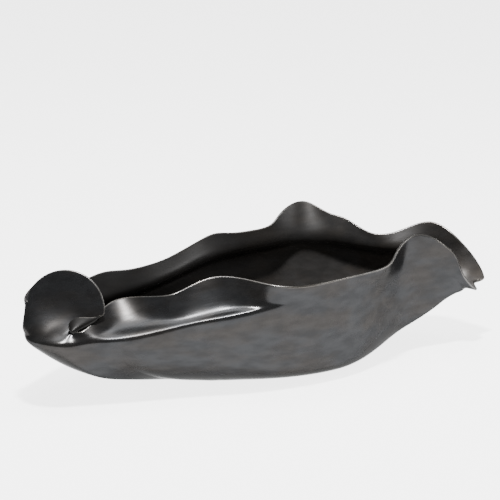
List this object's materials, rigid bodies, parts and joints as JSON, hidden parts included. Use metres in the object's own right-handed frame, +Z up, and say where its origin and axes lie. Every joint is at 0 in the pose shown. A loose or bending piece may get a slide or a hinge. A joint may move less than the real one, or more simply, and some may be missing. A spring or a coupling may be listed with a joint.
{
  "type": "sculptural bowl",
  "caption": "Freeform boat-shaped ceramic bowl with a rolled shoulder, a ruffled thin edge, a round cupped petal at one end and a narrow spout with two tips at the other.",
  "frame": {"origin": "centre of the flat oval foot's underside, on the table", "axes": "+Z up, +X along the bowl towards the spout, -Y towards the front with the scooped collar"},
  "size_m": [0.5635, 0.2357, 0.1476],
  "materials": {
    "dark_glaze": "satin"
  },
  "bodies": {
    "root": {"bowl": "dark_glaze"}
  },
  "joints": []
}
